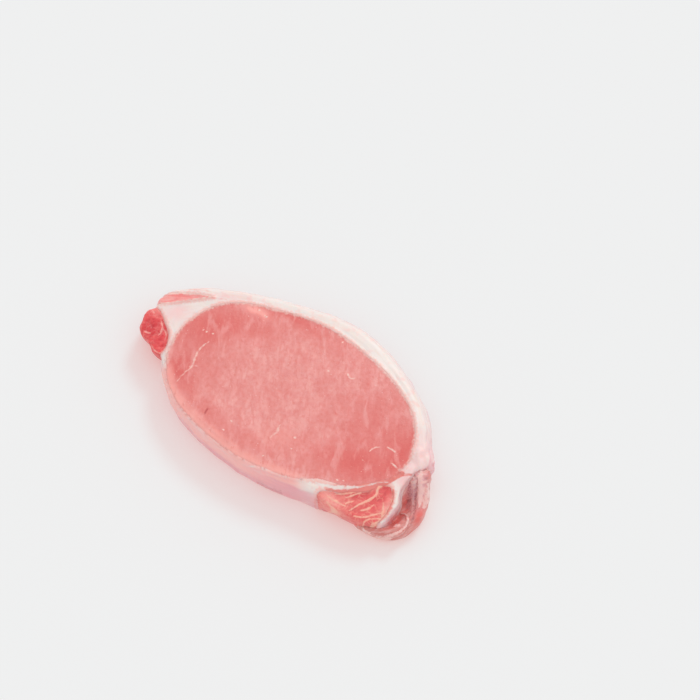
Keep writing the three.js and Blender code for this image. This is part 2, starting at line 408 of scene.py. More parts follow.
class Graph:
    """A material that is built up node by node."""

    MOST_NOISE = (0.25, 0.75)
    DRY_TO_MOIST = (0.35, 0.7)

    def __init__(self, name: str) -> None:
        """Starts an empty material.

        Args:
            name: The material's name.
        """
        self.material = bpy.data.materials.new(name)
        self.material.use_nodes = True
        self.tree = self.material.node_tree
        self.tree.nodes.clear()

    def _feed(self, entry: Socket, value: object) -> None:
        """Links an input to a socket, or sets it to a value.

        Args:
            entry: The input.
            value: A socket, a number, a vector or a colour.
        """
        if isinstance(value, bpy.types.NodeSocket):
            self.tree.links.new(value, entry)
        elif entry.type == "RGBA" and len(value) == 3:
            entry.default_value = (*value, 1)
        else:
            entry.default_value = value

    def node(self, kind: str, sockets: dict | None = None, **settings: object) -> bpy.types.Node:
        """Adds a node.

        Args:
            kind: The node's type, without its ShaderNode prefix.
            sockets: Values or links for its inputs, by name or number.
            **settings: The node's own properties.

        Returns:
            The new node.
        """
        made = self.tree.nodes.new("ShaderNode" + kind)
        for key, value in settings.items():
            setattr(made, key, value)
        for key, value in (sockets or {}).items():
            self._feed(made.inputs[key], value)
        return made

    def place(self, turn: float = 0.0, scale: Colour = (1, 1, 1)) -> Socket:
        """The place on the object, turned about +Z and then scaled along each axis.

        Args:
            turn: The direction that becomes +X, in degrees.
            scale: Factors along the turned axes.

        Returns:
            A vector.
        """
        spot = self.node("TexCoord").outputs["Object"]
        rotation = (0, 0, -math.radians(turn))
        facing = self.node("Mapping", {"Vector": spot, "Rotation": rotation}).outputs[0]
        return self.node("Mapping", {"Vector": facing, "Scale": scale}).outputs[0]

    def attribute(self, name: str, kind: str = "Fac") -> Socket:
        """What the piece's own vertices say: Fac for a number, Vector for a place."""
        return self.node("Attribute", attribute_name=name).outputs[kind]

    def noise(self, spot: Socket, size: float, detail: float = 3.0, bend: float = 0.0) -> Socket:
        """Noise from 0 to 1, with features of a size in millimetres, and finer ones on top."""
        sockets = {"Vector": spot, "Scale": 1 / (size * MM), "Detail": detail, "Distortion": bend}
        return self.node("TexNoise", sockets).outputs["Fac"]

    def wobble(self, spot: Socket, size: float, reach: float) -> Socket:
        """Pushes a place about, so that a pattern on it isn't regular.

        Args:
            spot: The place.
            size: Size of the waves that push it, in millimetres.
            reach: How far they push it, in millimetres.

        Returns:
            A vector.
        """
        sockets = {"Vector": spot, "Scale": 1 / (size * MM), "Detail": 2.0}
        push = self.node("TexNoise", sockets).outputs["Color"]
        push = self.node("VectorMath", {0: push, 1: (0.5, 0.5, 0.5)}, operation="SUBTRACT").outputs[0]
        push = self.node("VectorMath", {0: push, "Scale": reach * MM}, operation="SCALE").outputs[0]
        return self.node("VectorMath", {0: spot, 1: push}, operation="ADD").outputs[0]

    def cells(self, spot: Socket, size: float) -> Socket:
        """Distance to the edge of the nearest cell, against the cells' size in millimetres."""
        sockets = {"Vector": spot, "Scale": 1 / (size * MM)}
        return self.node("TexVoronoi", sockets, feature="DISTANCE_TO_EDGE").outputs["Distance"]

    def span(self, value: Socket, low: float, high: float, start: float = 0.0, end: float = 1.0) -> Socket:
        """Carries a value smoothly from one range, low to high, to another, start to end."""
        sockets = {"Value": value, 1: low, 2: high, 3: start, 4: end}
        return self.node("MapRange", sockets, interpolation_type="SMOOTHSTEP").outputs[0]

    def maths(self, operation: str, *values: object) -> Socket:
        """Does a sum, such as MULTIPLY, on sockets or numbers."""
        return self.node("Math", dict(enumerate(values)), operation=operation).outputs[0]

    def mix(self, share: object, first: object, second: object) -> Socket:
        """Mixes two colours.

        Args:
            share: How much of the second there is, 0 to 1.
            first: A linear colour or a link.
            second: A linear colour or a link.

        Returns:
            A colour.
        """
        made = self.node("Mix", {0: share}, data_type="RGBA", clamp_factor=True)
        self._feed(made.inputs[6], first)
        self._feed(made.inputs[7], second)
        return made.outputs[2]

    def paint(
        self, under: object, over: object, where: Socket, low: float, high: float, most: float = 1.0
    ) -> Socket:
        """Lays one colour over another where a value is high, from none at low to the most at high."""
        return self.mix(self.span(where, low, high, 0.0, most), under, over)

    def torn(self, name: str, spot: Socket, size: float, reach: float) -> Socket:
        """One of the piece's own attributes, with edges that noise pushes to and fro."""
        ragged = self.span(self.noise(spot, size, 3), *self.MOST_NOISE, -reach, reach)
        return self.maths("ADD", self.attribute(name), ragged)

    def gloss(self, spot: Socket, size: float, dry: float, moist: float) -> Socket:
        """Roughness that changes from place to place."""
        return self.span(self.noise(spot, size, 3), *self.DRY_TO_MOIST, dry, moist)

    def bump(self, height: Socket, depth: float, under: Socket | None = None) -> Socket:
        """Roughens the surface.

        Args:
            height: The relief, 0 to 1.
            depth: Its height in millimetres.
            under: A relief that this one lies on.

        Returns:
            A normal.
        """
        sockets = {"Height": height, "Distance": depth * MM, "Strength": 1.0}
        if under is not None:
            sockets["Normal"] = under
        return self.node("Bump", sockets).outputs[0]

    def flesh(self, colour: Socket, roughness: Socket, normal: Socket, wet: Wetness) -> bpy.types.Material:
        """Finishes the material as moist flesh.

        Args:
            colour: Its colour.
            roughness: Its roughness.
            normal: Its relief.
            wet: How light enters it and how its film of juice shines.

        Returns:
            The material.
        """
        sockets = {
            "Base Color": colour,
            "Roughness": roughness,
            "Normal": normal,
            "IOR": wet.ior,
            "Specular IOR Level": wet.specular,
            "Subsurface Weight": wet.glow,
            "Subsurface Radius": wet.reach,
            "Subsurface Scale": wet.depth * MM,
            "Coat Weight": wet.film,
            "Coat Roughness": wet.film_roughness,
        }
        shader = self.node("BsdfPrincipled", sockets, subsurface_method="RANDOM_WALK")
        self.node("OutputMaterial", {"Surface": shader.outputs[0]})
        return self.material


@dataclass(frozen=True)
class Lean:
    """Lean meat, cut across its fibres.

    Attributes:
        name: The material's name.
        pale: Its palest colour.
        rose: Its usual colour.
        deep: Its colour where blood stays in it, and on the eye muscle also painted shade away from the
            broad sheen of the cut face.
        warm: Its warm pale colour: painted glow of light through a thin edge, and paler zones of the meat.
        fat: The colour of fat in it.
        crease: The colour of a cut or a crease.
        side: The colour of the skin on its free side.
        side_pale: The colour of the streaks along that side.
        bundle: Size of a fibre bundle, in millimetres.
        seams: How strongly the pale seams between bundles show.
        streak: Direction of the streaks, in degrees from +X.
        width: Their width, in millimetres.
        stretch: How many times longer than wide they are.
        threads: How strongly the dark threads along them show.
        mottle: How strongly it is mottled.
        blotches: How strongly its pale blotches show.
        relief: Height of its finest relief, in millimetres.
        wet: How it takes light.
    """

    name: str
    pale: Colour = srgb(241, 172, 167)
    rose: Colour = srgb(231, 146, 140)
    deep: Colour = srgb(222, 103, 98)
    warm: Colour = srgb(255, 176, 167)
    fat: Colour = srgb(246, 212, 202)
    crease: Colour = srgb(196, 84, 82)
    side: Colour = srgb(220, 104, 112)
    side_pale: Colour = srgb(234, 146, 142)
    bundle: float = 1.7
    seams: float = 0.03
    streak: float = 126.0
    width: float = 3.0
    stretch: float = 2.6
    threads: float = 0.3
    mottle: float = 0.3
    blotches: float = 0.5
    relief: float = 0.06
    wet: Wetness = Wetness()

    def material(self) -> bpy.types.Material:
        """Builds the material.

        Returns:
            The material.
        """
        graph = Graph(self.name)
        spot = graph.place()
        along = graph.place(self.streak, (1 / self.stretch, 1, 0.5))
        colour = graph.paint(self.pale, self.rose, graph.noise(spot, 9, 3), 0.34, 0.66, 0.75)
        streaks = graph.noise(along, self.width, 4, 0.8)
        colour = graph.paint(colour, self.rose, streaks, 0.36, 0.68, 0.75)
        colour = graph.mix(graph.attribute("deep"), colour, self.deep)
        colour = graph.paint(colour, self.deep, graph.noise(spot, 1.5, 4), 0.35, 0.7, self.mottle)
        blotches = graph.noise(along, 3.4, 4, 0.5)
        colour = graph.paint(colour, self.pale, blotches, 0.5, 0.72, self.blotches)
        # Warm tint: painted glow of light through the thin near edge, and paler zones of the meat.
        colour = graph.mix(graph.attribute("tint"), colour, self.warm)
        threads = graph.noise(along, self.width / 3, 2, 0.5)
        colour = graph.paint(colour, self.deep, threads, 0.56, 0.72, self.threads)
        edges = graph.cells(graph.wobble(spot, 2.5, 2.0), self.bundle)
        broken = graph.span(graph.noise(spot, 4, 2), 0.42, 0.62)
        net = graph.maths("MULTIPLY", graph.span(edges, 0.0, 0.16, self.seams, 0.0), broken)
        colour = graph.mix(net, colour, self.fat)
        # Fine white flecks: specks of fat, and painted highlights where the wet surface glints.
        colour = graph.paint(colour, self.fat, graph.noise(spot, 0.8, 2), 0.70, 0.76, 0.6)
        skin = graph.paint(self.side, self.side_pale, graph.noise(along, 1.6, 3), 0.4, 0.65)
        colour = graph.mix(graph.attribute("side"), colour, skin)
        fat = graph.torn(Mark.FAT.value, spot, 1.1, 0.18)
        colour = graph.paint(colour, self.fat, fat, 0.1, 0.85, 0.92)
        colour = graph.paint(colour, self.crease, graph.attribute(Mark.DARK.value), 0.1, 0.9)
        roughness = graph.gloss(spot, 5, 0.5, 0.36)
        relief = graph.bump(graph.span(edges, 0.0, 0.25), self.relief * 0.6)
        relief = graph.bump(graph.noise(along, 0.6, 4), self.relief, relief)
        return graph.flesh(colour, roughness, relief, self.wet)


@dataclass(frozen=True)
class BackFat:
    """Firm white fat, and the thin membrane that it thins out to round the near side.

    Attributes:
        name: The material's name.
        white: Colour of the cut fat.
        cream: Colour of the yellower layers in it.
        rosy: Colour where it is stained by juice, and of the painted highlights where the membrane rolls
            over the edge.
        blush: Colour of the fat next to meat.
        meat: Colour of meat that shows through it.
        skin: Colour of the fat's outer side.
        skin_streak: Colour of the streaks along that side.
        membrane_top_lit: Colour of the membrane where it rolls over the edge, lighter there as painted
            light.
        membrane_side_shaded: Colour of the membrane low on the side, and of the band's darker zones on its
            side: mauve with painted shade.
        vein: Colour of the dark lines, which show only low on the side.
        wet: How it takes light.
    """

    name: str
    white: Colour = srgb(238, 227, 222)
    cream: Colour = srgb(238, 221, 208)
    rosy: Colour = srgb(244, 202, 201)
    blush: Colour = srgb(245, 186, 178)
    meat: Colour = srgb(232, 134, 126)
    skin: Colour = srgb(236, 216, 214)
    skin_streak: Colour = srgb(228, 194, 196)
    membrane_top_lit: Colour = srgb(254, 188, 182)
    membrane_side_shaded: Colour = srgb(236, 170, 177)
    vein: Colour = srgb(190, 92, 100)
    wet: Wetness = Wetness(glow=0.45, reach=(1.0, 0.62, 0.52), depth=2.6)

    LINES = (Mark.MEAT, Mark.FAT, Mark.DARK)

    def material(self) -> bpy.types.Material:
        """Builds the material.

        Returns:
            The material.
        """
        graph = Graph(self.name)
        spot = graph.place()
        flow = graph.node(
            "VectorMath", {0: graph.attribute("flow", "Vector"), 1: (0.12, 0.12, 1)}, operation="MULTIPLY"
        )
        layers = graph.noise(flow.outputs[0], 1.1, 3, 0.4)
        side = graph.attribute("side")
        cut = graph.paint(self.white, self.cream, layers, 0.48, 0.72, 0.6)
        cut = graph.paint(cut, self.blush, graph.noise(spot, 4, 4), 0.5, 0.75, 0.45)
        outer = graph.paint(self.skin, self.skin_streak, layers, 0.36, 0.62)
        colour = graph.mix(side, cut, outer)
        # Painted shading over the rolled edge: the membrane's lit pink at the top turns to shaded mauve low
        # on the side.
        film = graph.mix(graph.attribute("low"), self.membrane_top_lit, self.membrane_side_shaded)
        # Painted highlights: pale pink patches where the membrane rolls over the edge.
        rim = graph.maths("MULTIPLY", graph.span(side, 0.1, 0.45), graph.span(side, 0.9, 0.5))
        painted_highlight_patches = graph.span(graph.noise(spot, 7, 2), 0.45, 0.65, 0.0, 0.6)
        film = graph.mix(graph.maths("MULTIPLY", rim, painted_highlight_patches), film, self.rosy)
        film = graph.paint(film, self.rosy, graph.noise(spot, 2.6, 4), 0.5, 0.72, 0.3)
        colour = graph.mix(graph.attribute("membrane"), colour, film)
        colour = graph.mix(graph.attribute("tint"), colour, self.rosy)
        # Painted shade: the darker zones on the side take the shaded membrane colour.
        colour = graph.mix(graph.attribute("deep"), colour, self.membrane_side_shaded)
        colour = graph.paint(colour, self.blush, graph.torn("blush", spot, 0.9, 0.3), 0.2, 1.1, 0.8)
        meat, fat, dark = (graph.torn(mark.value, spot, 1.4, 0.15) for mark in self.LINES)
        colour = graph.paint(colour, self.meat, meat, 0.05, 1.0)
        colour = graph.paint(colour, self.white, fat, 0.1, 0.8, 0.9)
        colour = graph.paint(colour, self.vein, dark, 0.1, 1.0, 0.85)
        roughness = graph.gloss(spot, 3, 0.5, 0.36)
        relief = graph.bump(layers, 0.12)
        relief = graph.bump(graph.noise(spot, 0.8, 3), 0.05, relief)
        return graph.flesh(colour, roughness, relief, self.wet)


@dataclass(frozen=True)
class Silverskin:
    """A flap of lean under wet, greyish membrane.

    Attributes:
        name: The material's name.
        grey: Colour of the membrane where it is thick.
        rose: Colour where the meat shows through.
        pale: Colour of its folds and edges.
        blood: Colour of its deepest places: red meat, made brighter to make up for the shade in the hollow,
            which is painted light.
        groove: Colour of its creases, darker there as painted shade.
        streak: Direction of its streaks, in degrees from +X.
        wet: How it takes light.
    """

    name: str
    grey: Colour = srgb(222, 168, 173)
    rose: Colour = srgb(212, 124, 117)
    pale: Colour = srgb(240, 196, 190)
    blood: Colour = srgb(232, 104, 96)
    groove: Colour = srgb(188, 108, 112)
    streak: float = 62.0
    wet: Wetness = Wetness(film=0.3, film_roughness=0.18)

    def material(self) -> bpy.types.Material:
        """Builds the material.

        Returns:
            The material.
        """
        graph = Graph(self.name)
        spot = graph.place()
        along = graph.place(self.streak, (0.2, 1, 1))
        streaks = graph.noise(along, 1.5, 3, 0.4)
        colour = graph.paint(self.rose, self.pale, streaks, 0.42, 0.7, 0.55)
        within = graph.paint(self.grey, self.pale, streaks, 0.36, 0.62)
        colour = graph.mix(graph.attribute("tint"), colour, within)
        # Painted light: the red in the hollow behind the ridge is brighter, to offset the shade there.
        colour = graph.mix(graph.attribute("deep"), colour, self.blood)
        fat, dark = (graph.torn(mark.value, spot, 0.7, 0.3) for mark in (Mark.FAT, Mark.DARK))
        colour = graph.paint(colour, self.pale, fat, 0.25, 0.85, 0.9)
        # Painted shade: the creases of the fold are coloured darker on top of their sunken shape.
        colour = graph.paint(colour, self.groove, dark, 0.25, 0.9, 0.85)
        roughness = graph.gloss(spot, 3, 0.44, 0.28)
        relief = graph.bump(streaks, 0.1)
        relief = graph.bump(graph.noise(spot, 0.6, 3), 0.05, relief)
        return graph.flesh(colour, roughness, relief, self.wet)


class Slot(Enum):
    """The record's names for the finishes."""

    LEAN = "lean"
    FAT = "fat"
    DEEP_LEAN = "deep_lean"
    CAP_LEAN = "cap_lean"
    TAIL_LEAN = "tail_lean"
    MEMBRANE = "membrane"


# ---------------------------------------------------------------- pieces


@dataclass(frozen=True)
class Skin:
    """The surface of a piece.

    Attributes:
        points: Its points, in millimetres, one a row.
        normals: Its normals, one a row.
    """

    points: np.ndarray
    normals: np.ndarray

    @classmethod
    def of(cls, piece: bpy.types.Object) -> Skin:
        """Reads a piece's surface.

        Args:
            piece: The piece.

        Returns:
            The surface.
        """
        count = len(piece.data.vertices)
        points, normals = np.zeros(count * 3), np.zeros(count * 3)
        piece.data.vertices.foreach_get("co", points)
        piece.data.vertices.foreach_get("normal", normals)
        return cls(points.reshape(-1, 3) / MM, normals.reshape(-1, 3))

    @property
    def flat(self) -> np.ndarray:
        """The points as seen from above."""
        return self.points[:, :2]

    @property
    def height(self) -> np.ndarray:
        """How high the points lie over the lower face."""
        return self.points[:, 2]

    @property
    def up(self) -> np.ndarray:
        """How far each normal points up, 1 on a level face and 0 on an upright one."""
        return self.normals[:, 2]


@dataclass
class Flesh:
    """One kind of meat or fat in the steak, made over its solid.

    Attributes:
        layout: Where the muscles lie.
        name: The piece's name.
        node: The solid that it stands for.
        slot: The finish's name in the record; not used.
        finish: The finish.
        seed: Which noise makes it uneven.
        voxel: Size of its mesh's faces, in millimetres.
        smoothing: How often its corners are smoothed.
        swell: How far it grows, so that it meets its neighbours.
        close: How much farther it grows at its seams.
        strands: The lines on it.
        deep: Its darker zones.
        tint: Its zones in the finish's other tint.
    """

    layout: Layout
    name: str
    node: str
    slot: Slot
    finish: Lean | BackFat | Silverskin
    seed: int
    voxel: float = 0.5
    smoothing: int = 8
    swell: float = 0.28
    close: float = 0.65
    strands: tuple[Strand, ...] = ()
    deep: tuple[Patch, ...] = ()
    tint: tuple[Patch, ...] = ()

    REACH = 1.6
    CLOSED = 0.3
    DOUBLES = 0.01
    TILT = (0.1, 0.5)
    STRAY, STRAY_CELL, STRAY_START = 0.8, 4, 50
    WANDER, WANDER_CELL = 0.35, 1.6

    def __post_init__(self) -> None:
        """Starts the piece's own noise."""
        self.grain = Grain(self.seed)

    def build(self) -> bpy.types.Object:
        """Builds the piece and gives it its finish and its place in the part.

        Returns:
            The finished piece.
        """
        piece = self.remeshed()
        skin = Skin.of(piece)
        lift = self.swell + self.relief(skin) + self.strand_lift(skin)
        lift += self.close * ease(self.seam(skin), self.REACH, self.CLOSED)
        points = skin.points + skin.normals * lift[:, None]
        points[:, 2] = np.maximum(points[:, 2], 0)
        piece.data.vertices.foreach_set("co", (points * MM).astype(np.float32).ravel())
        piece.data.update()
        for name, values in self.marks(Skin.of(piece)).items():
            self.write(piece, name, values)
        piece.data.materials.clear()
        piece.data.materials.append(self.finish.material())
        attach(piece, BODY)
        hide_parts(self.node)
        LOG.info("%s: %d vertices", self.name, len(piece.data.vertices))
        return piece

    def remeshed(self) -> bpy.types.Object:
        """Copies the solid, merges its loose triangles and makes its mesh fine and even.

        Returns:
            The new piece, still without relief or finish.
        """
        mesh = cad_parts[self.node].data.copy()
        mesh.name = self.name
        piece = bpy.data.objects.new(self.name, mesh)
        bpy.context.scene.collection.objects.link(piece)
        bpy.ops.object.select_all(action="DESELECT")
        piece.select_set(True)
        bpy.context.view_layer.objects.active = piece
        bpy.ops.object.mode_set(mode="EDIT")
        bpy.ops.mesh.select_all(action="SELECT")
        bpy.ops.mesh.remove_doubles(threshold=self.DOUBLES * MM)
        bpy.ops.object.mode_set(mode="OBJECT")
        remesh = piece.modifiers.new("remesh", "REMESH")
        remesh.mode = "VOXEL"
        remesh.voxel_size = self.voxel * MM
        smooth = piece.modifiers.new("smooth", "SMOOTH")
        smooth.iterations = self.smoothing
        bpy.ops.object.modifier_apply(modifier=remesh.name)
        bpy.ops.object.modifier_apply(modifier=smooth.name)
        bpy.ops.object.shade_smooth()
        return piece

    @staticmethod
    def write(piece: bpy.types.Object, name: str, values: np.ndarray) -> None:
        """Writes an attribute that the finish reads.

        Args:
            piece: The piece.
            name: The attribute's name.
            values: A number or a vector for each vertex.
        """
        kind, key = ("FLOAT", "value") if values.ndim == 1 else ("FLOAT_VECTOR", "vector")
        attribute = piece.data.attributes.new(name, kind, "POINT")
        attribute.data.foreach_set(key, values.astype(np.float32).ravel())

    def seam(self, skin: Skin) -> np.ndarray:
        """How far each point lies from the other solids.

        Args:
            skin: The surface.

        Returns:
            Distances, no more than REACH.
        """
        corners, faces = [], []
        for node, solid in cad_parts.items():
            if node != self.node:
                faces += [[index + len(corners) for index in face.vertices] for face in solid.data.polygons]
                corners += [vertex.co / MM for vertex in solid.data.vertices]
        tree = BVHTree.FromPolygons(corners, faces)
        gaps = (tree.find_nearest(point, self.REACH)[3] for point in skin.points)
        return np.array([self.REACH if gap is None else gap for gap in gaps])

    def wander(self, skin: Skin) -> np.ndarray:
        """How far the edges of lines stray, in widths of the line."""
        return self.WANDER * self.grain.rough(skin.points, self.WANDER_CELL)

    def relief(self, skin: Skin) -> np.ndarray:
        """How far the surface stands out, in millimetres, one height for each point."""
        return np.zeros(len(skin.points))

    def strand_lift(self, skin: Skin) -> np.ndarray:
        """How far the strands stand out or sink in, in millimetres.

        Args:
            skin: The surface.

        Returns:
            One height for each point.
        """
        wander = self.wander(skin)
        lifts = [s.lift * s.cover(skin.flat, wander) for s in self.strands if s.lift]
        return sum(lifts, np.zeros(len(wander))) * ease(skin.up, *self.TILT)

    def marks(self, skin: Skin) -> dict[str, np.ndarray]:
        """What the finish needs to know of each point.

        Args:
            skin: The surface.

        Returns:
            Values by attribute name.
        """
        starts = (0, self.STRAY_START)
        shifts = [self.grain.waves(skin.points + start, self.STRAY_CELL) for start in starts]
        flat = skin.flat + self.STRAY * np.column_stack(shifts)
        wander = self.wander(skin)
        found = {mark.value: np.zeros(len(flat)) for mark in Mark}
        for strand in self.strands:
            cover = strand.strength * strand.cover(skin.flat, wander)
            found[strand.mark.value] = np.maximum(found[strand.mark.value], cover)
        for name, patches in (("deep", self.deep), ("tint", self.tint)):
            found[name] = np.clip(sum((p.cover(flat) for p in patches), np.zeros(len(flat))), 0, 1)
        return found


@dataclass
class EyeMuscle(Flesh):
    """The large pale eye muscle."""

    EDGE, GLOW, BEHIND = 0.5, 0.75, 0.3
    OUTWARD = 0.88

    def relief(self, skin: Skin) -> np.ndarray:
        """Low lumps, and streaks that run across the steak.

        Args:
            skin: The surface.

        Returns:
            One height for each point.
        """
        points = skin.points
        streaked = turned(points, self.finish.streak)
        height = 0.13 * self.grain.waves(points, 13)
        height += 0.09 * self.grain.waves(streaked, (13, 4, 13))
        height += 0.05 * self.grain.waves(streaked, (6, 1.8, 6))
        height += 0.015 * self.grain.bundles(points + 0.5 * self.grain.waves(points, 3)[:, None], 2.3)
        return height * ease(skin.up, 0.3, 0.8)

    def marks(self, skin: Skin) -> dict[str, np.ndarray]:
        """Adds the ragged edge against the fat, and the painted glow of light through the thin edge against
        the membrane.

        Args:
            skin: The surface.

        Returns:
            Values by attribute name.
        """
        found = super().marks(skin)
        inside = self.layout.eye.inside(skin.flat)
        membrane = self.layout.membrane(skin.flat)
        ragged = inside + 0.6 * self.grain.rough(skin.points, 3.8)
        edge = ease(ragged, 1.5, 0.1) * (1 - membrane) * (1 - self.layout.veiled(skin.flat))
        found[Mark.FAT.value] = np.maximum(found[Mark.FAT.value], self.EDGE * edge)
        depth = inside + self.grain.rough(skin.points, 5)
        # Painted glow: the warm colour where light shines through the thin edge by the membrane.
        found["tint"] = np.clip(found["tint"] + self.GLOW * ease(depth, 4.5, 0) * membrane, 0, 1)
        near = self.layout.membrane(self.OUTWARD * skin.flat)
        behind = ease(depth, 1, 4) * ease(depth, 13, 7) * near
        found["deep"] = np.clip(found["deep"] + self.BEHIND * behind, 0, 1)
        return found


@dataclass
class FatBand(Flesh):
    """The fat cap, its wedges and septum, and the membrane round the near side."""

    SHOULDER = Patch(58.0, 17.5, 5.0, 4.0, -50, 1.1)
    RADIUS, ROUNDNESS, SLOPE = 60, 0.6, 1.4

    def side(self, skin: Skin) -> np.ndarray:
        """Where the surface belongs to the steak's side."""
        return ease(skin.up, 0.8, 0.25)

    def flow(self, skin: Skin) -> np.ndarray:
        """Coordinates that follow the band.

        Args:
            skin: The surface.

        Returns:
            Places, of which the first two coordinates run along the band and the third across it.
        """
        angle = np.arctan2(skin.flat[:, 1], skin.flat[:, 0] * self.ROUNDNESS)
        depth = self.layout.whole.inside(skin.flat) + self.SLOPE * skin.height
        return np.column_stack([self.RADIUS * np.cos(angle), self.RADIUS * np.sin(angle), depth])

    def relief(self, skin: Skin) -> np.ndarray:
        """Layers along the band, and lumps that are larger on its side and by the tail.

        Args:
            skin: The surface.

        Returns:
            One height for each point.
        """
        x, y = skin.flat.T
        tail = ease(x, 50, 60) * ease(y, -6, 0)
        height = 0.12 * self.grain.waves(self.flow(skin), (22, 22, 1.9))
        height += (0.14 + 0.2 * self.side(skin) + 0.5 * tail) * self.grain.waves(skin.points, 7)
        height += (0.05 + 0.55 * tail) * self.grain.waves(skin.points, 3.2)
        height -= self.SHOULDER.cover(skin.flat)
        return height * ease(skin.height, 0.2, 2)

    def marks(self, skin: Skin) -> dict[str, np.ndarray]:
        """Adds the side, the membrane, the blush against the meat and the way of the layers.

        Args:
            skin: The surface.

        Returns:
            Values by attribute name.
        """
        found = super().marks(skin)
        flat, points = skin.flat, skin.points
        gap = self.layout.to_lean(flat) + 0.4 * self.grain.rough(points, 2)
        found["side"] = self.side(skin)
        found["membrane"] = self.layout.membrane(flat + 0.8 * self.grain.waves(points, 5)[:, None])
        # How low each point lies on the side; the finish paints the membrane there in its shaded colour.
        found["low"] = ease(skin.height + self.grain.rough(points, 3), 11, 5)
        # The darker zones, painted shade, show only on the side.
        found["deep"] *= found["side"]
        found[Mark.DARK.value] *= found["low"]
        found["blush"] = ease(gap, 2.2, 0.2) * (1 - found["membrane"])
        found[Mark.MEAT.value] = np.maximum(found[Mark.MEAT.value], self.layout.veiled(flat))
        found["flow"] = self.flow(skin) * MM
        return found


@dataclass
class SmallMuscle(Flesh):
    """A small muscle with coarse bundles.

    Attributes:
        bundle: Length and width of a bundle. Its direction is that of the finish's streaks.
        height: How far the bundles stand out.
        rim: How far the pale rim reaches in from the muscle's edge.
    """

    bundle: Place = (3.0, 1.6)
    height: float = 0.25
    rim: float = 0.8

    def relief(self, skin: Skin) -> np.ndarray:
        """Coarse bundles and lumps.

        Args:
            skin: The surface.

        Returns:
            One height for each point.
        """
        long, wide = self.bundle
        streaked = turned(skin.points, self.finish.streak)
        height = self.height * self.grain.waves(streaked, (long, wide, 3 * wide))
        height += 0.5 * self.height * self.grain.waves(streaked, (long / 2, wide / 2, wide))
        height += 0.6 * self.height * self.grain.waves(skin.points, 4.5)
        return height * ease(skin.up, 0.0, 0.6)

    def marks(self, skin: Skin) -> dict[str, np.ndarray]:
        """Adds the pale rim of the cut face, and the skin on the free side.

        Args:
            skin: The surface.

        Returns:
            Values by attribute name.
        """
        found = super().marks(skin)
        inside = Outline(self.node).inside(skin.flat) + 0.4 * self.grain.rough(skin.points, 1.8)
        rim = 0.8 * ease(inside, self.rim, 0.0) * ease(skin.up, 0.6, 0.9)
        found[Mark.FAT.value] = np.maximum(found[Mark.FAT.value], rim)
        low = ease(skin.height + self.grain.rough(skin.points, 2), 7.0, 4.0)
        found["side"] = low * ease(skin.up, 0.9, 0.6)
        return found


@dataclass
class FoldedFlap(Flesh):
    """The flap that folds round the tail, with the hollow behind its ridge."""

    RISE = 1.8

    def relief(self, skin: Skin) -> np.ndarray:
        """Wrinkles along the fold, and the raised end by the fat.

        Args:
            skin: The surface.

        Returns:
            One height for each point.
        """
        streaked = turned(skin.points, self.finish.streak)
        height = 0.3 * self.grain.waves(streaked, (11, 3, 7))
        height += 0.08 * self.grain.waves(streaked, (4, 1.4, 3))
        height += 0.35 * self.grain.waves(skin.points, 5)
        height += self.RISE * ease(skin.flat[:, 1], -4, 4) * ease(skin.up, 0.2, 0.8)
        return height * ease(skin.height, 0.5, 3)


# ---------------------------------------------------------------- studio


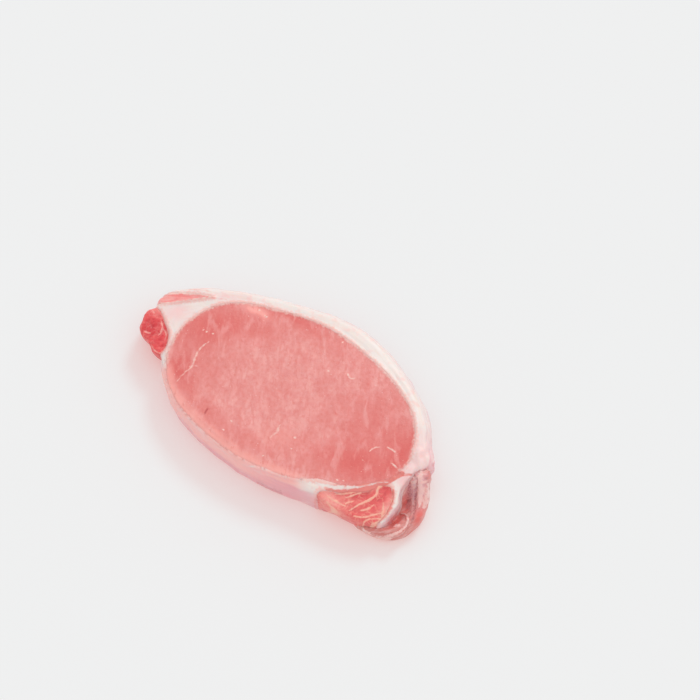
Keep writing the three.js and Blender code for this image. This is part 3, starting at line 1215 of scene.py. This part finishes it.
@dataclass
class Studio:
    """The pale floor, the soft light and the camera.

    Attributes:
        floor_reach: Half the floor's width, in metres.
        floor_glow: Light that the floor gives off, which keeps shadows faint and warm.
        floor_white: How much light the floor reflects.
        sky: Brightness of the even light from all round.
        key: Strength of the lamp, in watts to a square metre.
        key_from: Where the lamp stands.
        key_angle: How wide the lamp looks from the steak, in degrees.
        azimuth: Where the camera stands round the part, in degrees.
        elevation: How high it stands, in degrees.
        distance: How far it stands from its target, in metres.
        target: What it looks at, in metres.
        lens: Its focal length, in millimetres.
    """

    floor_reach: float = 3.0
    floor_glow: Colour = (0.61, 0.185, 0.15)
    floor_white: Colour = (0.25, 0.67, 0.705)
    sky: float = 0.86
    key: float = 0.74
    key_from: Colour = (-0.1, 1.0, 0.95)
    key_angle: float = 17.0
    azimuth: float = 39.0
    elevation: float = 66.0
    distance: float = 0.7
    target: Colour = (0.00188, 0.03255, 0.0)
    lens: float = 85.0

    NEAREST = 0.01

    def build(self) -> None:
        """Builds the floor, the light and the camera."""
        self.build_floor()
        self.build_light()
        self.build_camera()

    def build_floor(self) -> None:
        """Lays the floor that the steak lies on."""
        bpy.ops.object.select_all(action="DESELECT")
        bpy.ops.mesh.primitive_plane_add(size=2 * self.floor_reach)
        floor = bpy.context.active_object
        floor.name = "floor"
        graph = Graph("white paper")
        paper = graph.node("BsdfDiffuse", {"Color": self.floor_white}).outputs[0]
        glow = graph.node("Emission", {"Color": self.floor_glow, "Strength": 1.0}).outputs[0]
        both = graph.node("AddShader", {0: paper, 1: glow}).outputs[0]
        graph.node("OutputMaterial", {"Surface": both})
        floor.data.materials.append(graph.material)

    def build_light(self) -> None:
        """Lights the scene evenly, with one soft lamp from behind."""
        world = bpy.data.worlds.new("studio")
        world.use_nodes = True
        background = world.node_tree.nodes["Background"]
        background.inputs["Color"].default_value = (1, 1, 1, 1)
        background.inputs["Strength"].default_value = self.sky
        bpy.context.scene.world = world
        lamp = bpy.data.lights.new("key", "SUN")
        lamp.energy = self.key
        lamp.angle = math.radians(self.key_angle)
        holder = bpy.data.objects.new("key", lamp)
        holder.location = self.key_from
        holder.rotation_euler = Vector(self.key_from).to_track_quat("Z", "Y").to_euler()
        bpy.context.scene.collection.objects.link(holder)

    def build_camera(self) -> None:
        """Points the camera and keeps the colours as they are."""
        turn, rise = math.radians(self.azimuth), math.radians(self.elevation)
        level = math.cos(rise)
        back = Vector((math.sin(turn) * level, -math.cos(turn) * level, math.sin(rise)))
        camera = bpy.data.cameras.new("camera")
        camera.lens = self.lens
        camera.clip_start = self.NEAREST
        holder = bpy.data.objects.new("camera", camera)
        holder.location = Vector(self.target) + back * self.distance
        holder.rotation_euler = back.to_track_quat("Z", "Y").to_euler()
        bpy.context.scene.collection.objects.link(holder)
        bpy.context.scene.camera = holder
        bpy.context.scene.view_settings.view_transform = "Standard"


# ---------------------------------------------------------------- the steak

EYE_STRANDS = (
    Strand(
        (
            (-39.7, -29.4), (-40.1, -25.9), (-39.7, -23.0), (-39.2, -19.5),
            (-40.8, -16.2), (-41.8, -13.3), (-42.0, -10.4), (-41.0, -7.0),
        ),
        0.8, 0.12, 0.6,
    ),
    Strand(((-39.2, -19.5), (-37.3, -18.0)), 0.7, 0.1, 0.55),
    Strand(((-21.4, -32.6), (-21.7, -31.0), (-22.1, -29.4)), 0.8, -0.15, 0.8, Mark.DARK),
    Strand(((40.5, -3.1), (41.0, -0.5), (42.6, 1.4)), 0.6, 0.06, 0.75),
    Strand(((43.9, 3.0), (47.2, 3.4), (50.1, 3.6)), 0.6, 0.06, 0.75),
    Strand(((50.0, -1.4), (51.8, -1.1), (54.7, -1.5)), 0.7, 0.06, 0.8),
    Strand(((12.7, 17.6), (15.0, 16.7), (16.2, 18.3)), 0.5, 0.06, 0.65),
    Strand(((5.4, -16.5), (6.4, -20.0), (5.8, -23.5)), 0.9, 0.06, 0.5),
)
# Small raised flecks in fat colour where the wet cut face glints: painted highlights.
EYE_GLINT_FLECKS = (
    (-46.4, -4.5), (-44.8, -4.3), (-42.1, -3.2), (-30.2, 16.8), (-31.1, 16.8), (-50.1, 5.8),
    (-34.5, 17.3), (-10.9, -27.9), (-11.0, -32.8), (8.6, -31.2), (15.5, -21.9), (13.6, -17.3),
    (5.7, 13.8), (12.9, 17.7), (2.0, 27.7), (38.2, -20.5), (40.3, -19.2),
)
GLINT_FLECK = 0.7
# Darker zones of the eye muscle: partly its own deeper red, partly painted shade where the broad sheen of
# the cut face falls off.
EYE_DARKER_AND_SHADED = (
    Patch(-46, -4, 14, 9, 60, 0.8),
    Patch(-31, 10, 16, 8, 27, 0.5),
    Patch(-31, -15, 9, 9, 0, 0.3),
    Patch(-43, -24, 7, 7, 0, 0.6),
    Patch(-8, 25, 22, 4, 0, 0.35),
    Patch(36, 8, 20, 14, 0, 0.55),
    Patch(40, -11, 13, 9, 30, 0.8),
    Patch(52, 4, 5, 14, 0, 0.6),
    Patch(-24, 23, 17, 3.5, 14, 0.5),
    Patch(24, -16, 12, 6, 30, 0.3),
)
EYE_PALE = (
    Patch(-36.5, 16.8, 5, 1.8, 18, 0.9),
    Patch(-31.5, 16.8, 2.5, 1.5, 0, 0.6),
    Patch(8, -22, 9, 5, 30, 0.25),
)
TAIL_THREADS = (
    ((38.9, -27.9), (43.4, -27.3), (47.6, -26.5)),
    ((39.9, -29.7), (43.5, -29.9), (47.6, -30.2), (53.2, -28.4)),
    ((41.0, -25.4), (45.5, -21.5), (48.1, -17.4)),
    ((45.4, -23.7), (47.0, -20.9), (48.8, -18.3)),
    ((46.6, -25.8), (48.5, -22.7)),
    ((52.2, -27.4), (56.2, -25.1), (58.2, -21.5), (60.3, -19.3)),
    ((56.6, -27.9), (57.1, -25.0), (59.8, -22.3), (61.8, -21.2)),
    ((58.8, -27.1), (60.4, -24.3), (62.7, -22.9)),
    ((57.9, -15.6), (59.9, -18.1), (61.2, -21.1)),
    ((53.0, -24.0), (55.0, -21.4), (55.6, -18.6)),
)
TAIL_STRANDS = (
    Strand(
        (
            (54.4, -6.6), (53.9, -10.1), (52.6, -12.7), (54.2, -15.3), (52.9, -18.6),
            (51.5, -21.8), (50.4, -24.4), (49.6, -27.0),
        ),
        0.9, 0.45,
    ),
    Strand(((47.8, -20.0), (47.4, -23.0), (48.3, -25.5)), 0.9, -0.3, 0.35, Mark.DARK),
    Strand(((51.0, -13.6), (51.2, -16.5), (50.6, -18.8)), 1.1, -0.3, 0.35, Mark.DARK),
    Strand(((55.8, -10.5), (56.4, -13.5), (55.6, -17.0)), 1.2, -0.25, 0.35, Mark.DARK),
)
FLAP_STRANDS = (
    Strand(
        (
            (64.6, -12.3), (66.2, -11.5), (68.4, -12.6), (69.8, -15.0), (70.2, -17.8),
            (69.3, -20.6), (67.4, -23.5), (64.7, -25.8), (61.2, -27.2), (57.4, -27.9),
        ),
        1.0, 0.7,
    ),
    Strand(((60.5, 6.0), (62.5, 2.6), (65.2, -0.8), (67.4, -3.6), (69.4, -6.8)), 2.3, 0.5),
    Strand(((62.7, -1.6), (65.0, -4.8), (67.6, -8.5), (70.0, -13.0)), 0.8, 0.3, 0.4),
    # Creases along the fold, sunk and coloured darker: painted shade.
    Strand(
        ((62.0, 1.2), (64.6, -2.4), (67.2, -6.4), (69.8, -11.2), (71.2, -14.7)),
        1.5, -0.4, 0.6, Mark.DARK,
    ),
    Strand(((60.6, -1.6), (62.8, -5.0), (64.8, -7.6), (64.9, -10.0)), 1.9, -0.4, 0.65, Mark.DARK),
    Strand(((66.5, -19.4), (67.9, -17.4)), 1.3, 0.2),
    Strand(((66.8, 2.4), (68.6, 0.2), (69.6, -2.2), (70.6, -5.4)), 2.0),
)
END_STRANDS = (
    Strand(((-64.0, -11.5), (-61.6, -13.0), (-60.4, -15.5), (-60.3, -17.4)), 0.9, -0.2, 0.75),
    Strand(((-66.6, -19.5), (-65.1, -19.3), (-63.5, -18.5)), 0.9, -0.15, 0.7),
    Strand(((-69.9, -10.3), (-68.3, -10.5)), 0.9, -0.15, 0.7),
    Strand(((-60.8, -13.8), (-58.4, -14.3), (-56.7, -16.8)), 0.8, -0.2, 0.6),
    Strand(((-68.4, -15.6), (-65.8, -15.2), (-64.2, -16.8)), 0.9, -0.25, 0.4, Mark.DARK),
)
RIM_STRANDS = (
    Strand(((7.0, -37.4), (10.9, -35.8), (17.5, -33.6), (22.7, -31.9)), 1.0, 0.2, 0.35),
    Strand(
        ((37.0, -25.2), (42.1, -22.1), (45.4, -19.0), (48.8, -14.7), (51.6, -10.9), (54.6, -7.8)),
        0.65, 0.08, 0.6,
    ),
    Strand(((32.5, -26.6), (37.1, -25.0), (41.8, -22.0), (46.8, -17.2)), 1.5, 0.08, 0.8),
    Strand(((56.5, -2.6), (58.0, -1.2), (59.6, 0.6)), 1.0, -0.3, 0.75, Mark.MEAT),
    Strand(
        ((57.8, -9.0), (59.2, -11.4), (61.0, -15.0), (61.7, -19.3), (60.9, -24.0)),
        1.9, 0.0, 1.0, Mark.MEAT,
    ),
    Strand(((64.0, -11.5), (64.6, -15.5), (64.8, -19.5), (64.0, -23.5)), 1.6, 0.0, 0.85, Mark.MEAT),
    Strand(((35.6, -33.0), (36.3, -30.5), (36.8, -28.2)), 1.6, 0.0, 0.55, Mark.MEAT),
    Strand(
        ((-66.5, -4.6), (-62.1, 0.4), (-58.3, 4.5), (-53.3, 9.3), (-48.0, 12.6)),
        0.9, 0.05, 0.4, Mark.MEAT,
    ),
    Strand(((-66.5, 5.2), (-60.2, 9.3), (-53.0, 12.4)), 0.8, 0.05, 0.4, Mark.MEAT),
    Strand(((10.5, -38.3), (16.4, -36.9), (21.5, -35.7)), 1.4, -0.2, 0.45, Mark.DARK),
)


def steak_pieces(layout: Layout) -> tuple[Flesh, ...]:
    """Lists the steak's pieces, from the eye muscle outwards.

    Args:
        layout: Where the muscles lie.

    Returns:
        The pieces, still to be built.
    """
    # Painted highlights: small raised fat-coloured flecks where the wet eye muscle glints.
    glint_flecks = tuple(Strand(((x - 0.3, y), (x + 0.3, y)), GLINT_FLECK, 0.08) for x, y in EYE_GLINT_FLECKS)
    threads = tuple(Strand(line, 0.8, 0.15, 0.75) for line in TAIL_THREADS)
    pale = Lean("pale lean")
    red = Lean(
        "dark red lean",
        pale=srgb(246, 116, 112), rose=srgb(230, 74, 78), deep=srgb(202, 44, 56),
        fat=srgb(244, 170, 160), side=srgb(214, 78, 88), side_pale=srgb(236, 130, 130),
        bundle=2.0, seams=0.25, streak=60, width=1.8, stretch=2, mottle=0.5, relief=0.12,
    )
    streaky = Lean(
        "streaky lean",
        pale=srgb(249, 178, 172), rose=srgb(244, 130, 128), deep=srgb(236, 108, 110),
        side=srgb(240, 190, 184), side_pale=srgb(246, 214, 208), streak=32, width=1.3, stretch=7, mottle=0.1,
    )
    marbled = Lean(
        "marbled lean",
        pale=srgb(242, 140, 131), rose=srgb(233, 98, 97), deep=srgb(220, 72, 80),
        fat=srgb(248, 188, 166), bundle=2.4, seams=0.35, streak=66, width=1.6, mottle=0.4, relief=0.1,
    )
    return (
        EyeMuscle(
            layout, "eye_muscle", "loin_eye", Slot.LEAN, pale, 11,
            voxel=0.44, strands=EYE_STRANDS + glint_flecks, deep=EYE_DARKER_AND_SHADED, tint=EYE_PALE,
        ),
        FatBand(
            layout, "fat_band", "fat_cap", Slot.FAT, BackFat("white fat"), 23,
            voxel=0.44, smoothing=5, strands=RIM_STRANDS,
            # Darker mauve zones on the side, in the shaded membrane colour: painted shade.
            deep=(
                Patch(64.4, -19, 1.4, 6, 0, 0.9),
                Patch(24, -33.5, 14, 5, 20, 1.0),
                Patch(61.5, 11, 5, 7, -30, 0.75),
            ),
            tint=(
                Patch(-11, -36.8, 4, 1.6, -5, 0.8),
                Patch(-20, -36.4, 4, 1.8, -12, 0.8),
                Patch(-61, -5, 7, 5, 35, 0.75),
                Patch(-55.5, -21, 2.5, 8, -10, 0.4),
                Patch(-48, 14, 12, 3, 35, 0.4),
                Patch(57, 12, 7, 8, 60, 0.6),
                Patch(59, 2, 6, 6, 0, 0.6),
                Patch(59, -4, 2.5, 3, 0, 0.8),
            ),
        ),
        SmallMuscle(
            layout, "end_lean", "end_muscle", Slot.DEEP_LEAN, red, 31,
            voxel=0.35, bundle=(3.5, 1.8), height=0.3, rim=1.1,
            strands=END_STRANDS, deep=(Patch(-64, -16, 5, 4, -45, 0.6),),
            tint=(Patch(-69, -9.5, 3.5, 2, 10, 0.4),),
        ),
        SmallMuscle(
            layout, "cap_lean", "cap_muscle", Slot.CAP_LEAN, streaky, 43,
            voxel=0.35, bundle=(9, 1.4), height=0.12, rim=1.0,
        ),
        SmallMuscle(
            layout, "tail_lean", "tail_muscle", Slot.TAIL_LEAN, marbled, 59,
            voxel=0.35, bundle=(5, 1.7), height=0.28, strands=TAIL_STRANDS + threads,
            deep=(Patch(49, -19, 5, 2.5, 50, 0.6), Patch(56, -13, 2.5, 5, 0, 0.5)),
            tint=(Patch(60.5, -15.5, 2.2, 5, 0, 0.8), Patch(41, -28, 5, 3, 0, 0.75)),
        ),
        FoldedFlap(
            layout, "folded_flap", "tail_flap", Slot.MEMBRANE, Silverskin("silverskin"), 67,
            voxel=0.35, strands=FLAP_STRANDS, tint=(Patch(64.5, -2.5, 8, 4, -60, 1.3),),
            # Red zones in the hollow, brightened against its shade: painted light.
            deep=(
                Patch(63.8, -8.2, 4.2, 1.5, -60, 0.6),
                Patch(64.6, -16, 3.5, 2.2, -70, 0.7),
                Patch(71.6, -9, 6, 1.8, -75, 0.8),
            ),
        ),
    )


def main() -> None:
    """Builds the steak in its studio."""
    logging.basicConfig(level=logging.INFO, format="%(name)s %(message)s")
    Studio().build()
    for piece in steak_pieces(Layout()):
        piece.build()


if __name__ == "__main__":
    main()
